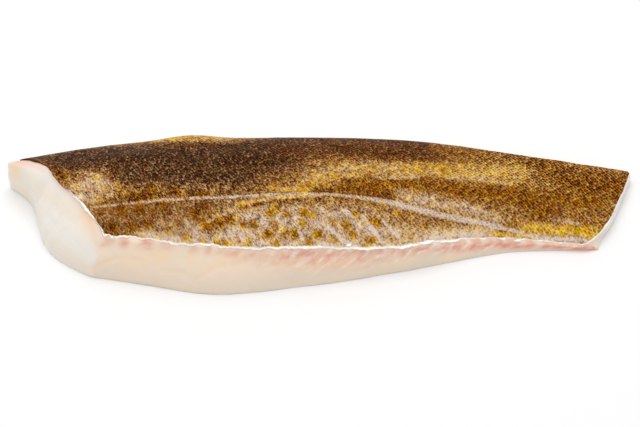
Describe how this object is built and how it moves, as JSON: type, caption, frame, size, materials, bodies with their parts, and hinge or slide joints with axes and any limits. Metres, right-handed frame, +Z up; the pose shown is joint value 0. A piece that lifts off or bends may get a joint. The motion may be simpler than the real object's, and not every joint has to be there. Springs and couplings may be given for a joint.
{
  "type": "skin-on cod loin",
  "caption": "Raw skin-on cod loin lying skin side up: a long thick piece of pale flesh, tapering to the tail, under spotted brown and gold fish skin.",
  "frame": {"origin": "middle of the loin's box, on the surface that it lies on", "axes": "+X along the loin towards the tail, +Y towards the back of the fish, +Z up through the thickness, towards the skin"},
  "size_m": [0.3999, 0.1179, 0.0401],
  "materials": {
    "flesh": "moist raw cod flesh, cream to pinkish white, with faint flake lines",
    "skin": "wet scaly fish skin, dark brown to golden with spots and a pale lateral line"
  },
  "bodies": {
    "root": {"flesh": "flesh", "skin": "skin"}
  },
  "joints": []
}
